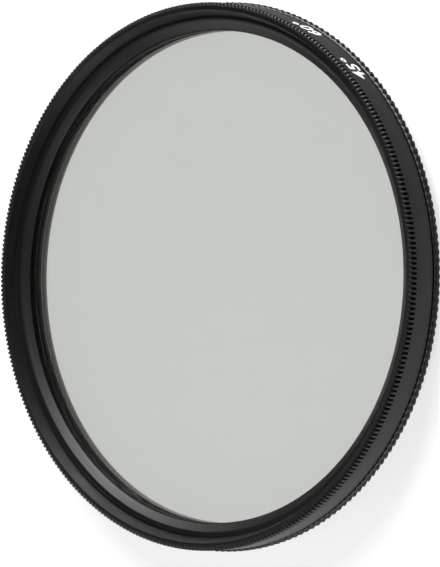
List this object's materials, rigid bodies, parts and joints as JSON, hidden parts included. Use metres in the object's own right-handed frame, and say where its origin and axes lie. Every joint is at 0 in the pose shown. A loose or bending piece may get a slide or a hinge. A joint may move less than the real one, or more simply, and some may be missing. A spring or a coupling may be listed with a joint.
{
  "type": "circular polarising lens filter",
  "caption": "Round screw-in polarising filter for a camera lens: a laminated glass disc in a knurled grip ring that turns without end on a knurled, threaded mount ring.",
  "frame": {"origin": "on the resting plane, under the centre of the filter, at the end of the rear thread", "axes": "+Z along the optical axis, out of the front of the filter; +X towards the right of the picture, across the ring"},
  "size_m": [0.0706, 0.0706, 0.0068],
  "materials": {
    "black_anodised_grip": "satin black anodised, fine turned grain",
    "black_anodised_mount": "satin black anodised, fine turned grain",
    "black_anodised_retainer": "satin black anodised, brushed face",
    "optical_glass": "clear, polished, ground rims",
    "grey_polarising_film": "neutral grey, see-through",
    "clear_retarder_film": "clear, see-through",
    "spring_steel": "bright drawn wire",
    "white_marking": "white enamel in shallow engraving"
  },
  "bodies": {
    "mount": {"mount_ring": "black_anodised_mount", "spring_wire": "spring_steel"},
    "grip": {"grip_ring": "black_anodised_grip", "glass_retaining_ring": "black_anodised_retainer", "front_glass": "optical_glass", "polarising_film": "grey_polarising_film", "quarter_wave_film": "clear_retarder_film", "rear_glass": "optical_glass"}
  },
  "joints": [
    {"name": "grip_turn", "type": "hinge", "parent": "mount", "child": "grip", "pos_m": [0, 0, 0.002], "axis": [0, 0, 1], "continuous": true}
  ]
}
